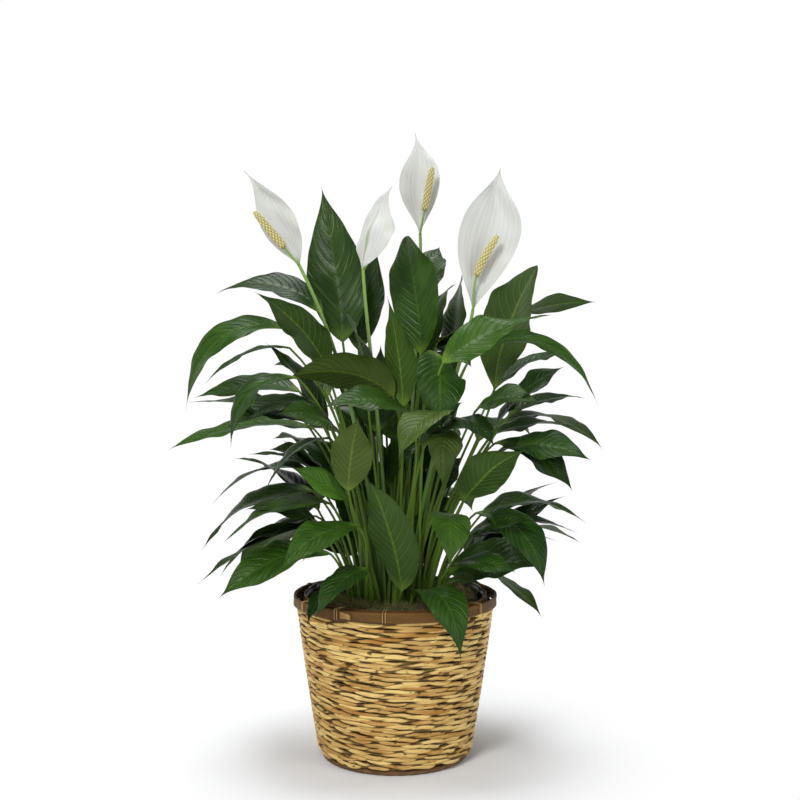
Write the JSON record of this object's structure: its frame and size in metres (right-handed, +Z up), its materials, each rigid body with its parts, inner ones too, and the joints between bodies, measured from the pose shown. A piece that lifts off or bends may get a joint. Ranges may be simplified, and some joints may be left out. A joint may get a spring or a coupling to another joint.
{
  "type": "potted peace lily",
  "caption": "Leafy peace lily in bloom, with white spathes and yellow spadices on tall stems, growing in a tapered round woven basket with a split-cane rim.",
  "frame": {"origin": "centre of the basket's flat underside, on the surface that the object stands on", "axes": "+Z up along the basket's axis; +X to the right and -Y towards the viewer in the front view"},
  "size_m": [0.558, 0.39, 0.782],
  "materials": {
    "leaf": "satin",
    "leaf_young": "satin",
    "flower_stem": "satin",
    "spathe": "matte",
    "spadix": "matte",
    "wicker": "satin",
    "wicker_dark": "satin",
    "cane_tie": "satin",
    "liner_plastic": "gloss",
    "pot_plastic": "satin",
    "soil": "matte",
    "moss": "matte"
  },
  "bodies": {
    "root": {"basket_base": "wicker", "basket_foot_ring": "wicker_dark", "basket_stakes": "wicker_dark", "basket_weave": "wicker", "flower_back_spadix": "spadix", "flower_back_spathe": "spathe", "flower_back_stem": "flower_stem", "flower_left_spadix": "spadix", "flower_left_spathe": "spathe", "flower_left_stem": "flower_stem", "flower_right_spadix": "spadix", "flower_right_spathe": "spathe", "flower_right_stem": "flower_stem", "flower_top_spadix": "spadix", "flower_top_spathe": "spathe", "flower_top_stem": "flower_stem", "leaf_01": "leaf", "leaf_02": "leaf", "leaf_03": "leaf", "leaf_04": "leaf", "leaf_05": "leaf", "leaf_06": "leaf", "leaf_07": "leaf", "leaf_08": "leaf", "leaf_09": "leaf", "leaf_10": "leaf", "leaf_11": "leaf_young", "leaf_12": "leaf", "leaf_13": "leaf", "leaf_14": "leaf", "leaf_15": "leaf", "leaf_16": "leaf", "leaf_17": "leaf", "leaf_18": "leaf", "leaf_19": "leaf", "leaf_20": "leaf", "leaf_21": "leaf", "leaf_22": "leaf", "leaf_23": "leaf", "leaf_24": "leaf", "leaf_25": "leaf", "leaf_26": "leaf", "leaf_27": "leaf", "leaf_28": "leaf", "leaf_29": "leaf", "leaf_30": "leaf", "leaf_31": "leaf", "leaf_32": "leaf", "leaf_33": "leaf", "leaf_34": "leaf", "leaf_35": "leaf", "moss": "moss", "nursery_pot": "pot_plastic", "plastic_liner": "liner_plastic", "rim_band_inner": "wicker_dark", "rim_band_outer": "wicker_dark", "rim_tie_front": "cane_tie", "rim_tie_left": "cane_tie", "rim_tie_right": "cane_tie", "soil": "soil"}
  },
  "joints": []
}
